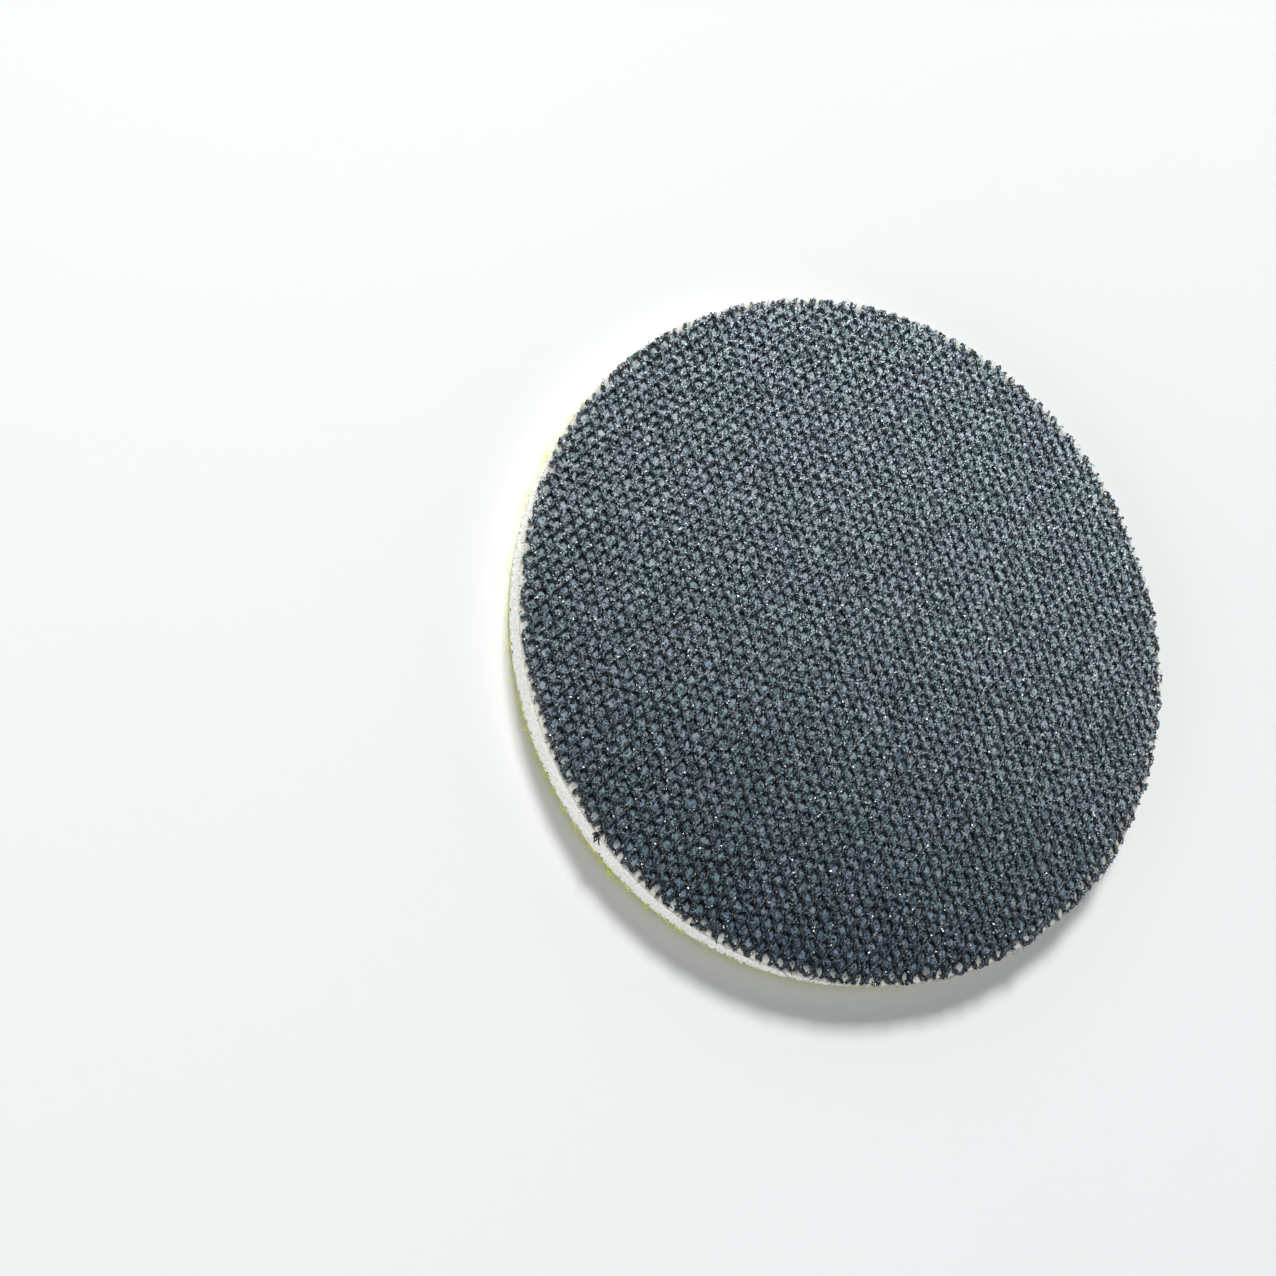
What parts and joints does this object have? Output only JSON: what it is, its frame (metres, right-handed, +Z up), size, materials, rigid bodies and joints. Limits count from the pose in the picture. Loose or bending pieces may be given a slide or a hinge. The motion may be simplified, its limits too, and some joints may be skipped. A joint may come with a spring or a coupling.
{
  "type": "polishing pad",
  "caption": "Round hook-and-loop polishing disc: dark knitted abrasive net bonded to pale open-cell foam, with a yellow loop backing.",
  "frame": {"origin": "centre of the loop face that the disc lies on, which is the bottom centre of its box", "axes": "+Z up along the disc's axis from the loop face to the abrasive face; +X along the wales of the net"},
  "size_m": [0.075, 0.075, 0.0055],
  "materials": {
    "loop_pile": "bright yellow nylon loops, brushed pile",
    "loop_cloth": "fine knitted ground cloth, bright yellow",
    "glue": "translucent hot-melt, set as a thin film and an open web",
    "foam": "pale grey-cream open-cell polyurethane foam, matt",
    "abrasive_net": "charcoal polyester warp knit, resin coated, with coarse dark grit that glints"
  },
  "bodies": {
    "root": {"loop_pile": "loop_pile", "loop_ground_cloth": "loop_cloth", "backing_glue_film": "glue", "foam_disc": "foam", "net_glue_web": "glue", "abrasive_net": "abrasive_net"}
  },
  "joints": []
}
